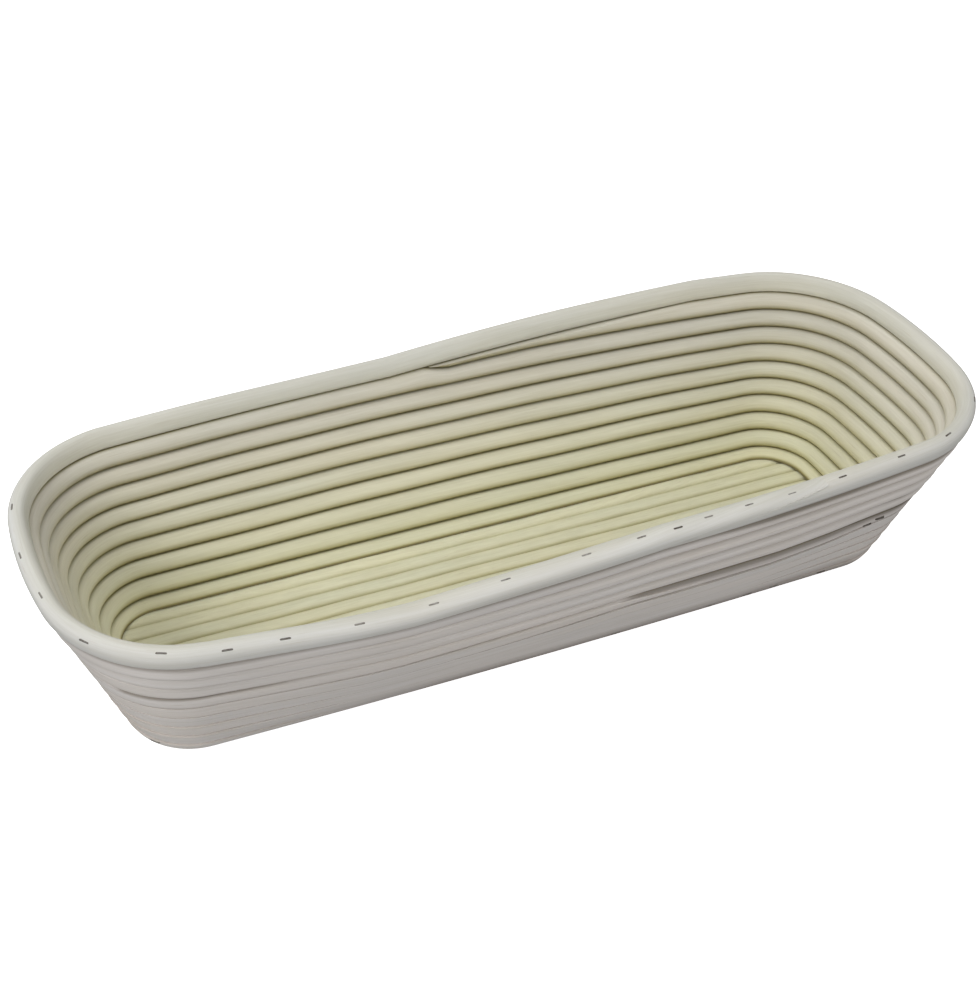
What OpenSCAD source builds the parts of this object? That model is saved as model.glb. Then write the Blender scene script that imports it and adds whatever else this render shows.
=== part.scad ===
// Long proofing basket of rattan cane. Straight canes make the floor, cane wound in a climbing
// coil makes the flared wall, a thicker cane makes the rim, and wire staples hold them together.
// Millimetres. The basket stands on z = 0, its length runs along X and its front faces -Y.

/* [Floor] */
// Number of straight canes in the floor
floor_canes = 10; // [8:2:10]
// Distance from one floor cane to the next
floor_pitch = 7.7; // [7.2:0.1:7.7]
// Height of a floor cane above its sanded underside
floor_h = 4.5; // [4:0.1:4.6]
// Radius of a floor cane's rounded top
floor_cane_r = 6; // [5:0.1:8]
// Gap between two floor canes
floor_gap = 0.3; // [0.2:0.1:0.6]
// Length of the two outermost floor canes, which stop short of the rounded corners
edge_cane_l = 306; // [260:1:310]

/* [Base ring] */
// Distance of the ring's inner face from the wall's foot line, beside the floor canes
ring_in = 1.9; // [1.8:0.05:2.2]
// Height of the ring's flat inner face
ring_edge = 4.2; // [3.6:0.1:4.4]
// Distance of the ring's outer toe from the wall's foot line
ring_toe = 2.8; // [2.6:0.1:4]
// Gap where the ring's ends meet
ring_cut = 0.6; // [0.5:0.1:1]

/* [Wall] */
// Length of the wall's foot line
foot_l = 317.5; // [300:0.5:340]
// Width of the wall's foot line
foot_w = 73.3; // [73.2:0.1:90]
// Corner radius of the wall's foot line
foot_r = 18.5; // [18:0.5:26]
// Depth of the foot line below the table; the lowest course stands on the table
foot_drop = 2.6; // [2.4:0.1:2.8]
// Height of one course, measured along the wall
pitch = 8.1; // [8:0.1:8.4]
// Outward lean of the wall at its foot, in degrees from upright
lean_foot = 30; // [28:0.1:32]
// How much each course stands more upright than the one below, in degrees
lean_step = 1.5; // [1.3:0.01:1.8]
// Angle by which the long sides bow outwards at the rim, measured where they meet the corners
side_bow = 6.4; // [1:0.1:8]
// Angle by which the short ends bow outwards at the rim, measured in the same way
end_bow = 6.7; // [1:0.1:8]
// Number of courses at the left end with the base ring, one fewer than at the right end
courses = 9; // [8:1:10]
// Gap between one course and the next
course_gap = 0.55; // [0.5:0.05:0.8]
// Thickness of the wall cane inside its middle line, where it stays round
cane_in = 4.2; // [3.8:0.1:4.4]
// Thickness of the wall cane outside its middle line, where it is sanded flatter
cane_out = 3.3; // [3:0.1:3.8]

/* [Rim] */
// Thickness of the rim cane through the wall
rim_t = 7.2; // [6.6:0.1:9]
// Height of the rim cane along the wall
rim_h = 8.9; // [8:0.1:10]
// How far the rim cane's middle lies outside the wall's middle line
rim_out = 0.2; // [-1:0.1:1]

/* [Staples] */
// Length of a staple's crown
crown = 5; // [4:0.1:6]
// Thickness of the staple wire
wire = 0.9; // [0.7:0.1:1]
// Length of a staple's legs
leg = 11; // [9:0.5:11.5]
// How far a rim staple's crown stands proud of the cane
crown_proud = 0.2; // [0.1:0.05:0.4]

/* [Hidden] */
$fn = 96;
corner_steps = 5;
// Stretches of the long sides, as a share of half their straight length from the middle:
// the coil climbs one course along the front, and its last course tapers out along the back.
climb_from = -1/2;
climb_to = 1/6;
wedge_tip = -1/6;
wedge_full = 5/6;
// Slanted cuts on the front, where the two coil lengths meet and where the rim's ends meet
joint_from = 0;
joint_to = 2/3;
front_stations = [-1, -2/3, climb_from, joint_from, climb_to, 1/3, joint_to];
back_stations = [1, wedge_full, 1/2, 1/6, wedge_tip, -1/2, -5/6];
side_steps = len(front_stations);
// Course in which the two coil lengths meet, and the height of their tips as a share of a course
splice_turn = 5;
tip = 0.15;
straight_x = foot_l / 2 - foot_r;
straight_y = foot_w / 2 - foot_r;
lean_rad = lean_step * PI / 180;
rim_span = rim_h / pitch;
rim_z = courses + 0.5;
// The rim leans out further where it is one course higher, so the plan is moved to stay centred.
function rim_reach(up) = reach(rim_z + up + rim_span / 2);
middle = [(plan_x(end_place(1, 0), rim_reach(1)) - plan_x(end_place(-1, 0), rim_reach(0))) / 2,
          (plan_y(back_place(climb_to), rim_reach(ramp(climb_to, wedge_tip, wedge_full)))
           - plan_y(front_place(climb_to), rim_reach(1))) / 2, 0];
// Sections as [across the wall, along the wall], in shares of the cane's half sizes
cane_shape = [[1, -0.6], [1, 0.6], [0.5, 1], [-0.4, 1], [-0.82, 0.6], [-1, 0],
              [-0.82, -0.6], [-0.4, -1], [0.5, -1]];
rim_shape = [[1, -0.45], [1, 0.45], [0.78, 0.82], [0.42, 1], [-0.42, 1], [-0.78, 0.82],
             [-1, 0.45], [-1, -0.45], [-0.7, -1], [0.7, -1]];
ring_shape = [[1, 0.15], [1, 0.6], [0.5, 1], [-0.4, 1], [-0.82, 0.6], [-1, 0]];

// Lean of the wall, its reach outside the foot line and its height, u courses above that line
function lean(u) = lean_foot - lean_step * u;
function reach(u) = pitch / lean_rad * (cos(lean(u)) - cos(lean_foot));
function rise(u) = -foot_drop + pitch / lean_rad * (sin(lean_foot) - sin(lean(u)));
function ramp(x, from, to) = min(1, max(0, (x - from) / (to - from)));

// A place round the basket is [x, y, corner]: x and y are shares of the way from the middle to
// the corners' centres, and corner is the share of the corner that is passed on the way to an end.
function front_place(x) = [x, -1, 0];
function back_place(x) = [x, 1, 0];
function end_place(x, y) = [x, y, 1];
function corner_run(x, y) =
    [for (i = [0:corner_steps - 1]) [x, y, x * y < 0 ? i / corner_steps : 1 - i / corner_steps]];
places = concat(
    [for (x = front_stations) front_place(x)],
    corner_run(1, -1),
    [end_place(1, -1), end_place(1, 0)],
    corner_run(1, 1),
    [for (x = back_stations) back_place(x)],
    corner_run(-1, 1),
    [end_place(-1, 1), end_place(-1, 0)],
    corner_run(-1, -1));
turn = len(places);
back_step = side_steps + 2 * corner_steps + 2;

// The long sides and the short ends are arcs that run smoothly into the corners, and bow more the
// further out they lie. Angles are measured from square to the long sides.
function bend(out, bow) = bow * max(0.01, out / reach(rim_z + 1));
function facing(place, out) =
    let (side = bend(out, side_bow), end = bend(out, end_bow))
    place[2] == 0 ? side * abs(place[0]) :
    place[2] == 1 ? 90 - end * abs(place[1]) :
    side + (90 - side - end) * place[2];
function plan_x(place, out) =
    let (r = foot_r + out, side = bend(out, side_bow), end = bend(out, end_bow))
    let (chord = straight_x + r * sin(side), half = straight_y + r * sin(end))
    place[2] == 0 ? chord * sin(facing(place, out)) / sin(side) :
    place[2] == 1 ? straight_x + r * cos(end) + half * (sin(facing(place, out)) - cos(end)) / sin(end) :
    straight_x + r * sin(facing(place, out));
function plan_y(place, out) =
    let (r = foot_r + out, side = bend(out, side_bow), end = bend(out, end_bow))
    let (chord = straight_x + r * sin(side), half = straight_y + r * sin(end))
    place[2] == 0 ? straight_y + r * cos(side) + chord * (cos(facing(place, out)) - cos(side)) / sin(side) :
    place[2] == 1 ? half * cos(facing(place, out)) / sin(end) :
    straight_y + r * cos(facing(place, out));
function plan_point(place, out, z) =
    [sign(place[0]) * plan_x(place, out), sign(place[1]) * plan_y(place, out), z] - middle;

// Point of the wall at a place, u courses up and n outside the wall's middle line
function wall_point(place, u, n) =
    plan_point(place, reach(u) + n * cos(lean(u)), rise(u) - n * sin(lean(u)));

// Directions at a place: level out of the wall, along the cane and up along the wall
function outward(place, u) =
    let (angle = facing(place, reach(u)))
    [sign(place[0]) * sin(angle), sign(place[1]) * cos(angle), 0];
function along_wall(place, u) = cross([0, 0, 1], outward(place, u));
function up_wall(place, u) = outward(place, u) * sin(lean(u)) + [0, 0, cos(lean(u))];

// Climb of the coil along the front, and height of the wall's top edge above its lowest stretch
function climb(x) = ramp(x, climb_from, climb_to);
function top_rise(place) =
    place[1] <= -1 ? climb(place[0]) :
    place[1] >= 1 ? ramp(place[0], wedge_tip, wedge_full) :
    place[0] > 0 ? 1 : 0;

// Part of one course of the coil, between two shares of its height, as [place, bottom, top]
function course_part(lap, place, up, from, to) =
    let (bottom = max(lap + up - 0.5, 1.5))
    let (top = min(lap + up + 0.5, rim_z + top_rise(place)))
    [place, bottom + from * (top - bottom), bottom + to * (top - bottom)];

// Share of the course below the slanted cut between the two coil lengths
function joint(x) = ramp(x, joint_from, joint_to);
function splice_at(lap, step) =
    lap == splice_turn && step < side_steps ? 1 - joint(places[step][0]) : 1;
function coil_part(count, upper) =
    let (lap = floor(count / turn), step = count % turn, cut = splice_at(lap, step))
    let (up = step < side_steps ? climb(places[step][0]) : 1)
    course_part(lap, places[step], up, upper && cut < 1 ? cut : 0, upper ? 1 : cut);
function splice_tip(x, from, to) = course_part(splice_turn, front_place(x), climb(x), from, to);

// Steps of a turn that lie next to the tips of the canes
joint_first = 4;
joint_last = 5;
climb_first = 3;
wedge_last = back_step + 3;
start_x = climb_from + tip * (climb_to - climb_from);
joint_start_x = joint_from + tip * (joint_to - joint_from);
joint_end_x = joint_to - tip * (joint_to - joint_from);
end_x = wedge_tip + tip * (wedge_full - wedge_tip);
lower_path = concat(
    [course_part(1, front_place(start_x), climb(start_x), 0, 1)],
    [for (count = [turn + climb_first:splice_turn * turn + joint_last]) coil_part(count, false)],
    [splice_tip(joint_end_x, 0, tip)]);
upper_path = concat(
    [splice_tip(joint_start_x, 1 - tip, 1)],
    [for (count = [splice_turn * turn + joint_first:courses * turn + wedge_last]) coil_part(count, true)],
    [course_part(courses, back_place(end_x), 1, 0, 1)]);

// The rim runs once round and its ends overlap in a slanted cut at the front.
function rim_part(place, from, to) =
    let (bottom = rim_z + top_rise(place))
    [place, bottom + from * rim_span, bottom + to * rim_span];
function rim_top(step) = step < side_steps ? joint(places[step][0]) : 1;
rim_path = concat(
    [rim_part(front_place(joint_start_x), 0, tip)],
    [for (step = [joint_first:turn - 1]) rim_part(places[step], 0, rim_top(step))],
    [for (step = [0:joint_last]) rim_part(places[step], joint(places[step][0]), 1)],
    [rim_part(front_place(joint_end_x), 1 - tip, 1)]);

// Ring of points round one section of a cane
function section(part, shape, inner, outer) =
    let (half = ((part[2] - part[1]) * pitch - course_gap) / 2)
    let (level = (part[1] + part[2]) / 2)
    [for (s = shape) wall_point(part[0], level + s[1] * half / pitch, s[0] * (s[0] < 0 ? inner : outer))];

// Section of the base ring, which is the lowest course: cut flat on the table and beside the floor
function ring_section(place) = concat(
    section([place, 0.5, 1.5], ring_shape, cane_in, cane_out),
    [plan_point(place, ring_in, ring_edge), plan_point(place, ring_in, 0), plan_point(place, ring_toe, 0)]);

// Least distance from each section of a coil to the sections one turn further on
function ring_gap(a, b) = min([for (p = a) for (q = b) norm(p - q)]);
function own_gap(rings) =
    min([for (i = [0:len(rings) - turn - 2]) for (k = [-1:1]) ring_gap(rings[i], rings[i + turn + k])]);

// Cane swept through a list of sections, with flat ends
module swept_cane(rings) {
    sides = len(rings[0]);
    last = (len(rings) - 1) * sides;
    skin = [for (i = [0:len(rings) - 2]) for (j = [0:sides - 1])
        let (a = i * sides + j, b = i * sides + (j + 1) % sides)
        each [[a, a + sides, b + sides], [a, b + sides, b]]];
    caps = [for (j = [1:sides - 2]) each [[0, j, j + 1], [last, last + j + 1, last + j]]];
    polyhedron([for (ring = rings) each ring], concat(skin, caps), convexity = 10);
}

// Wire staple with its crown along X, its legs down and the crown's top at the origin
module staple() {
    translate([-crown / 2, -wire / 2, -leg])
    difference() {
        cube([crown, wire, leg]);
        translate([wire, -wire, -wire])
        cube([crown - 2 * wire, 3 * wire, leg]);
    }
}

// Staple driven in at a point, its crown along one direction and its back facing another
module set_staple(at, along, out) {
    side = cross(out, along);
    multmatrix([[along.x, side.x, out.x, at.x],
                [along.y, side.y, out.y, at.y],
                [along.z, side.z, out.z, at.z]])
    staple();
}

// Outline of the floor inside the base ring
module floor_outline() {
    inset = ring_in - floor_gap;
    r = foot_r + inset;
    square([2 * straight_x, foot_w + 2 * inset], center = true);
    square([foot_l + 2 * inset, 2 * straight_y], center = true);
    for (x = [-1, 1], y = [-1, 1])
        translate([x * straight_x, y * straight_y])
        circle(r);
}

function floor_y(i) = (i - (floor_canes + 1) / 2) * floor_pitch;

// Straight round cane with a sanded underside, its ends cut to the rounded outline
module floor_cane(i) {
    edge = i == 1 || i == floor_canes;
    color("#dcd8a6")
    translate(-middle)
    intersection() {
        translate([-foot_l, floor_y(i), 0])
        rotate([90, 0, 90])
        linear_extrude(2 * foot_l)
        intersection() {
            translate([0, floor_h - floor_cane_r])
            circle(floor_cane_r);
            translate([-(floor_pitch - floor_gap) / 2, 0])
            square([floor_pitch - floor_gap, floor_h]);
        }
        linear_extrude(floor_h)
        intersection() {
            floor_outline();
            square([edge ? edge_cane_l : 2 * foot_l, foot_w + 2 * foot_r], center = true);
        }
    }
}

// Lowest course, bent round the floor; its ends meet at the back
module base_ring() {
    gap_x = ring_cut / 2 / straight_x;
    ring_places = concat(
        [back_place(-gap_x)],
        [for (step = [wedge_last + 1:turn - 1]) places[step]],
        [for (step = [0:wedge_last]) places[step]],
        [back_place(gap_x)]);
    color("#d9d5bd")
    swept_cane([for (place = ring_places) ring_section(place)]);
}

// First length of the coil: starts as a wedge on the base ring and ends in the slanted cut
module lower_coil() {
    rings = [for (part = lower_path) section(part, cane_shape, cane_in, cane_out)];
    echo(lower_coil_least_gap_mm = own_gap(rings));
    color("#d8d4b4")
    swept_cane(rings);
}

// Second length of the coil: starts in the slanted cut and tapers out under the rim at the back
module upper_coil() {
    rings = [for (part = upper_path) section(part, cane_shape, cane_in, cane_out)];
    echo(upper_coil_least_gap_mm = own_gap(rings));
    color("#dad6c4")
    swept_cane(rings);
}

// Thicker cane along the top of the wall
module rim_cane() {
    color("#e3e1d8")
    swept_cane([for (part = rim_path) section(part, rim_shape, rim_t / 2 - rim_out, rim_t / 2 + rim_out)]);
}

// Places of the rim staples, set by eye: wide apart, closer where the rim's ends overlap
rim_front_x = [-134, -115, -90, -64, -38, -8, 13, 27, 40, 57, 75, 98, 126];
rim_staple_places = concat(
    [for (x = rim_front_x) front_place(x / straight_x)],
    [for (x = [-125:25:125]) back_place(x / straight_x)],
    [for (x = [-1, 1], y = [-1, 1], corner = [0.2, 0.6]) [x, y, corner]],
    [for (x = [-1, 1], y = [-0.9, 0, 0.9]) end_place(x, y)]);

// Staples driven down through the top of the rim into the course below
module rim_staples() {
    color("#6f6a62")
    for (place = rim_staple_places) {
        u = rim_z + top_rise(place) + rim_span - course_gap / 2 / pitch;
        set_staple(wall_point(place, u, rim_out) + up_wall(place, u) * crown_proud,
                   along_wall(place, u), up_wall(place, u));
    }
}

// Places of the base staples, set by eye: more of them on the right half of the front
base_front_x = [29, 74, 92, 105, 129];
base_staple_places = concat(
    [for (x = base_front_x) front_place(x / straight_x)],
    [for (x = [-125:25:125]) back_place(x / straight_x)],
    [for (x = [-1, 1], y = [-1, 1]) [x, y, 0.55]]);

// Staples driven level through the base ring's rounded foot into the floor canes
module base_staples() {
    staple_z = 2;
    staple_out = 5.2;
    color("#6f6a62")
    for (place = base_staple_places)
        set_staple(plan_point(place, staple_out, staple_z), along_wall(place, 0), outward(place, 0));
}

// Places where a course is stapled down to the course below, moved along in every other course
function wall_staple_places(shift) = concat(
    [for (x = [-0.9, 0.5, 0.8]) front_place(x + shift)],
    [for (x = [-0.8:0.4:0.8]) back_place(x + shift)],
    [for (x = [-1, 1], y = [-1, 1]) [x, y, 0.4 + 2 * shift]]);

// Staples sunk in the top of each course above the base ring, hidden by the next course
module wall_staples() {
    color("#6f6a62")
    for (lap = [1:courses - 1], place = wall_staple_places(lap % 2 * 0.1)) {
        up = place[1] < 0 && place[0] > 0 ? 1 : 0;
        u = lap + up + 0.5 - course_gap / 2 / pitch;
        if (lap + up > 1)
            set_staple(wall_point(place, u, 0), along_wall(place, u), up_wall(place, u));
    }
}

// Staples driven sideways through each floor cane into the one before it, hidden by the next
module floor_staples() {
    color("#6f6a62")
    for (i = [2:floor_canes - 1], x = [-120:80:120])
        set_staple([x + 20 * (i % 2), floor_y(i) + (floor_pitch - floor_gap) / 2, floor_h / 2] - middle,
                   [1, 0, 0], [0, 1, 0]);
}

for (i = [1:floor_canes])
    floor_cane(i);
base_ring();
lower_coil();
upper_coil();
rim_cane();
rim_staples();
base_staples();
wall_staples();
floor_staples();
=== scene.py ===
# %% [markdown]
# # A long proofing basket of coiled cane
# The basket is wound from one kind of material, pale rattan cane. Straight canes make the floor,
# cane wound in a climbing coil makes the flared wall, a thicker cane makes the rim, and wire staples
# hold them together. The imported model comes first, as a fixed frame in metres that every visible
# piece is made to fit.

# %% Load the frame
import math

import bpy
import numpy as np
from mathutils import Matrix, Vector


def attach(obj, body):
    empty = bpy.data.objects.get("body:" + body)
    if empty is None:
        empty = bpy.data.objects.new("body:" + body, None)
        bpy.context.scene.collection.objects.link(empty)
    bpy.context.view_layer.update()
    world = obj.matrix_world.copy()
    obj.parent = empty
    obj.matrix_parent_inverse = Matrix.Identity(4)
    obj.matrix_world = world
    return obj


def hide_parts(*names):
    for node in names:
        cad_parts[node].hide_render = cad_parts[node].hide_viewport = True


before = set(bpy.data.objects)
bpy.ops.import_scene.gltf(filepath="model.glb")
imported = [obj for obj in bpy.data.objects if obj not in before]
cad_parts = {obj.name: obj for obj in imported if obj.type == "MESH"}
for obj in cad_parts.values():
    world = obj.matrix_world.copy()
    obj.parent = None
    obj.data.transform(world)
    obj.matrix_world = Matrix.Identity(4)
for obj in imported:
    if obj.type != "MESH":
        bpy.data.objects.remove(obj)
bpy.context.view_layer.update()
MM = 0.001

# %% [markdown]
# ## Camera
# The photograph looks down into the basket from the front left. Place, turn, pitch and roll come
# from matching the basket's outline and its grooves, so the same lines meet the same pixels.
# The lens follows from the focal length in pixels and the 36 mm sensor along the picture's height.

# %% Set up the camera
picture_height_px = 981
focal_px = 1710.7
sensor_mm = 36
camera_place = Vector((-0.25082, -0.48833, 0.47003))
camera_turn = math.radians(-26.161)
camera_pitch = math.radians(37.270)
camera_roll = math.radians(2.787)


def camera_axes(turn, tilt, roll):
    """The camera's right, up and backward directions."""
    back = Vector((math.sin(turn) * math.cos(tilt), -math.cos(turn) * math.cos(tilt), math.sin(tilt)))
    right = Vector((math.cos(turn), math.sin(turn), 0))
    up = back.cross(right)
    rolled_right = right * math.cos(roll) + up * math.sin(roll)
    rolled_up = up * math.cos(roll) - right * math.sin(roll)
    return rolled_right, rolled_up, back


lens = bpy.data.cameras.new("photo_view")
lens.sensor_width = sensor_mm
lens.lens = focal_px * sensor_mm / picture_height_px
camera = bpy.data.objects.new("photo_view", lens)
axes = Matrix(camera_axes(camera_turn, camera_pitch, camera_roll)).transposed()
camera.matrix_world = Matrix.Translation(camera_place) @ axes.to_4x4()
bpy.context.collection.objects.link(camera)
bpy.context.scene.camera = camera
bpy.context.scene.view_settings.view_transform = "Standard"
print("lens:", round(lens.lens, 2), "mm")

# %% [markdown]
# ## The wall's surface
# Every cane of the wall lies on one curved surface, so the surface is written once. Its height is
# counted in courses: u = 1 is the middle of the lowest course. Seen from the end the wall is an arc
# that stands more upright towards the rim. Seen from above it is a rectangle with round corners,
# and its sides and ends bow out more the higher they lie.

# %% Shape of the wall
foot_length = 317.5 * MM
foot_width = 73.3 * MM
foot_radius = 18.5 * MM
foot_height = -2.6 * MM
pitch = 8.1 * MM
lean_foot = math.radians(30)
lean_step = math.radians(1.5)
side_bow = math.radians(6.4)
end_bow = math.radians(6.7)
least_bow_share = 0.01
courses = 9
rim_height = 8.9 * MM
rim_foot = courses + 0.5
rim_span = rim_height / pitch
straight_x = foot_length / 2 - foot_radius
straight_y = foot_width / 2 - foot_radius


def lean(u):
    """Outward lean of the wall, u courses up."""
    return lean_foot - lean_step * u


def reach(u):
    """How far the wall's middle line lies outside the foot line, u courses up."""
    return pitch / lean_step * (np.cos(lean(u)) - math.cos(lean_foot))


def rise(u):
    """Height of the wall's middle line, u courses up."""
    return foot_height + pitch / lean_step * (math.sin(lean_foot) - np.sin(lean(u)))


def bowed(half_length, half_width, radius, bow, place):
    """Point of a bowed side or end: how far along it lies from the middle, and how far out."""
    chord = half_length + radius * np.sin(bow)
    angle = bow * np.abs(place)
    along = chord * np.sin(angle) / np.sin(bow)
    return along, half_width + radius * np.cos(bow) + chord * (np.cos(angle) - np.cos(bow)) / np.sin(bow)


def plan(places, out):
    """Point of the plan at places [x, y, corner], a distance out from the foot line."""
    x, y, corner = (places[:, k, None] for k in range(3))
    share = np.maximum(least_bow_share, out / reach(rim_foot + 1))
    side, end = side_bow * share, end_bow * share
    radius = foot_radius + out
    side_x, side_y = bowed(straight_x, straight_y, radius, side, x)
    end_y, end_x = bowed(straight_y, straight_x, radius, end, y)
    turned = side + (math.pi / 2 - side - end) * corner
    round_x = straight_x + radius * np.sin(turned)
    round_y = straight_y + radius * np.cos(turned)
    where = [corner == 0, corner == 1]
    plan_x = np.sign(x) * np.select(where, [side_x, end_x], round_x)
    plan_y = np.sign(y) * np.select(where, [side_y, end_y], round_y)
    return plan_x, plan_y


print("rim reaches", round(float(reach(rim_foot)) / MM, 1), "mm outside the foot line")

# %% [markdown]
# ## One turn round the basket
# A turn is a list of places, close together so that the corners look round. It runs anticlockwise
# from the left end of the front, because the coil climbs that way. The coil climbs one course along
# the front, and its last course tapers out along the back, which lets the rim come down again.
# Places on a side are shares of half its straight length, counted from the middle.

# %% Places of one turn
side_steps = 96
corner_steps = 24
end_steps = 12


def stretch(start, stop, steps):
    return start + (stop - start) * np.arange(steps) / steps


def run(x, y, corner, steps):
    return np.stack([np.broadcast_to(v, steps) for v in (x, y, corner)], axis=1).astype(float)


turn_places = np.concatenate([
    run(stretch(-1, 1, side_steps), -1, 0, side_steps),
    run(1, -1, stretch(0, 1, corner_steps), corner_steps),
    run(1, stretch(-1, 1, end_steps), 1, end_steps),
    run(1, 1, stretch(1, 0, corner_steps), corner_steps),
    run(stretch(1, -1, side_steps), 1, 0, side_steps),
    run(-1, 1, stretch(0, 1, corner_steps), corner_steps),
    run(-1, stretch(1, -1, end_steps), 1, end_steps),
    run(-1, -1, stretch(1, 0, corner_steps), corner_steps),
])
turn_steps = len(turn_places)
back_start = side_steps + 2 * corner_steps + end_steps
print("places in a turn:", turn_steps)

# %% Climb of the coil and of the wall's top
climb_from, climb_to = -1 / 2, 1 / 6
wedge_tip, wedge_full = -1 / 6, 5 / 6


def ramp(x, start, stop):
    """Share that rises from 0 at start to 1 at stop, and stays level outside."""
    return np.clip((x - start) / (stop - start), 0, 1)


def coil_climb(steps):
    """Share of a course that the coil has climbed at each step of a turn."""
    x = turn_places[steps % turn_steps, 0]
    return np.where(steps % turn_steps < side_steps, ramp(x, climb_from, climb_to), 1)


def top_rise(places):
    """Height of the wall's top edge above its lowest stretch, in courses."""
    front = ramp(places[:, 0], climb_from, climb_to)
    back = ramp(places[:, 0], wedge_tip, wedge_full)
    ends = (places[:, 0] > 0).astype(float)
    return np.where(places[:, 1] <= -1, front, np.where(places[:, 1] >= 1, back, ends))


def step_on_front(lap, x):
    return lap * turn_steps + int(round((x + 1) / 2 * side_steps))


def step_on_back(lap, x):
    return lap * turn_steps + back_start + int(round((1 - x) / 2 * side_steps))


print("the climb ends at step", step_on_front(0, climb_to), "of a turn")

# %% [markdown]
# ## Centring
# The rim leans out further where it is one course higher, at the right and at the front. The packed
# model is moved so that its box is centred on the origin, so the same shift is worked out here.

# %% Middle of the basket
def rim_edge(x, y, corner, up):
    """Distances of the rim's middle from the plan's axes, where it lies up courses higher."""
    px, py = plan(np.array([[x, y, corner]], float), np.array([[reach(rim_foot + up + rim_span / 2)]]))
    return abs(px[0, 0]), abs(py[0, 0])


back_up = float(ramp(climb_to, wedge_tip, wedge_full))
middle = np.array([
    (rim_edge(1, 0, 1, 1)[0] - rim_edge(-1, 0, 1, 0)[0]) / 2,
    (rim_edge(climb_to, 1, 0, back_up)[1] - rim_edge(climb_to, -1, 0, 1)[1]) / 2,
    0,
])


def plan_points(places, out, z):
    x, y = plan(places, out)
    return np.stack([x, y, z], axis=-1) - middle


def wall_points(places, u, n):
    """Points of the wall, u courses up and n outside its middle line, one row for each place."""
    return plan_points(places, reach(u) + n * np.cos(lean(u)), rise(u) - n * np.sin(lean(u)))


print("middle moved by", [round(v / MM, 2) for v in middle], "mm")

# %% [markdown]
# ## Hand-made unevenness
# Cane is not a machined bar. Its height swells and shrinks along its length by a few tenths of a
# millimetre and it lies a little in or out. Sums of slow sine waves along the coil give that, and
# each course takes its lower edge from the course below, so neighbours still touch.

# %% Unevenness along the cane
# Waves as (share of the strength, waves in a turn, shift for each seed)
wave_set = ((0.5, 2.3, 1.7), (0.3, 5.9, 2.9), (0.2, 13.1, 4.3))
edge_wave = 0.045
lie_wave = 0.3 * MM


def waves(along, strength, seed):
    """Slow uneven waves along a cane whose length is counted in turns."""
    parts = [share * np.sin(2 * math.pi * count * along + shift * seed) for share, count, shift in wave_set]
    return strength * sum(parts)


print("course edges wander by up to", round(edge_wave * pitch / MM, 2), "mm")

# %% [markdown]
# ## Sections of cane
# A superellipse describes every cane's section: its exponent decides how boxy each half is. Points
# at even angles would crowd into the corners of a boxy section, so on the outer half they are spread
# over the face. A section can be cut off at two heights, as a cane's end is shaved.

# %% Points round a section
face_spread = 2.2


def section(count, seam):
    """Cosine and sine round a section, from the seam's angle; outwards is 0 and up is 90 degrees."""
    angle = seam + 2 * math.pi * np.arange(count) / count
    return np.cos(angle), np.sin(angle)


def squared(value, power):
    """One coordinate of a section: power 1 is round, a smaller one boxier."""
    return np.sign(value) * np.abs(value) ** power


def shaved(c, s, power, low, high):
    """Section as (across, up) in shares of its half sizes, cut off below low and above high."""
    up = np.clip(squared(s, power), low, high)
    width = np.maximum(1 - np.abs(up) ** (2 / power), 0) ** (power / 2)
    return np.sign(c) * np.minimum(np.abs(c) ** power, width), up


def spread_out(c, s, power):
    """The same section with its outer points spread evenly over the face, however boxy it is."""
    up = 1 - (1 - np.arcsin(np.abs(s)) / (math.pi / 2)) ** face_spread
    s = np.where(c > 0, np.sign(s) * up ** (1 / power), s)
    return np.where(c > 0, np.sqrt(np.maximum(1 - s ** 2, 0)), c), s


print("a round section's quarter point:", [round(float(v[1]), 2) for v in section(8, 0)])

# %% [markdown]
# ## Sweeping a section along a path
# The mesh of a cane is a grid of section rings, closed by two caps. Three values are stored on every
# point for the finish: how far along the cane it lies, how far round the section and in which turn;
# how much painted shade and flour darken it there; and whether it faces into the basket.

# %% Swept meshes
sharp_angle = math.radians(55)


def store(mesh, label, kind, values):
    field = "vector" if kind == "FLOAT_VECTOR" else "value"
    numbers = np.asarray(values, np.float32).ravel()
    mesh.attributes.new(label, kind, "POINT").data.foreach_set(field, numbers)


def link_piece(name, mesh):
    piece = bpy.data.objects.new(name, mesh)
    bpy.context.collection.objects.link(piece)
    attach(piece, "root")
    return piece


def path_length(points):
    """Length along a path of ring middles, in metres."""
    steps = np.linalg.norm(np.diff(points.mean(axis=1), axis=0), axis=1)
    return np.concatenate([[0], np.cumsum(steps)])


def tube_faces(rings, sides):
    """Point numbers of a tube's side faces, and of its two caps."""
    grid = np.arange(rings * sides).reshape(rings, sides)
    near, far = grid[:-1], grid[1:]
    quads = np.stack([near, np.roll(near, -1, 1), np.roll(far, -1, 1), far], axis=-1).reshape(-1, 4)
    return quads, [grid[0][::-1], grid[-1]]


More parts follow.
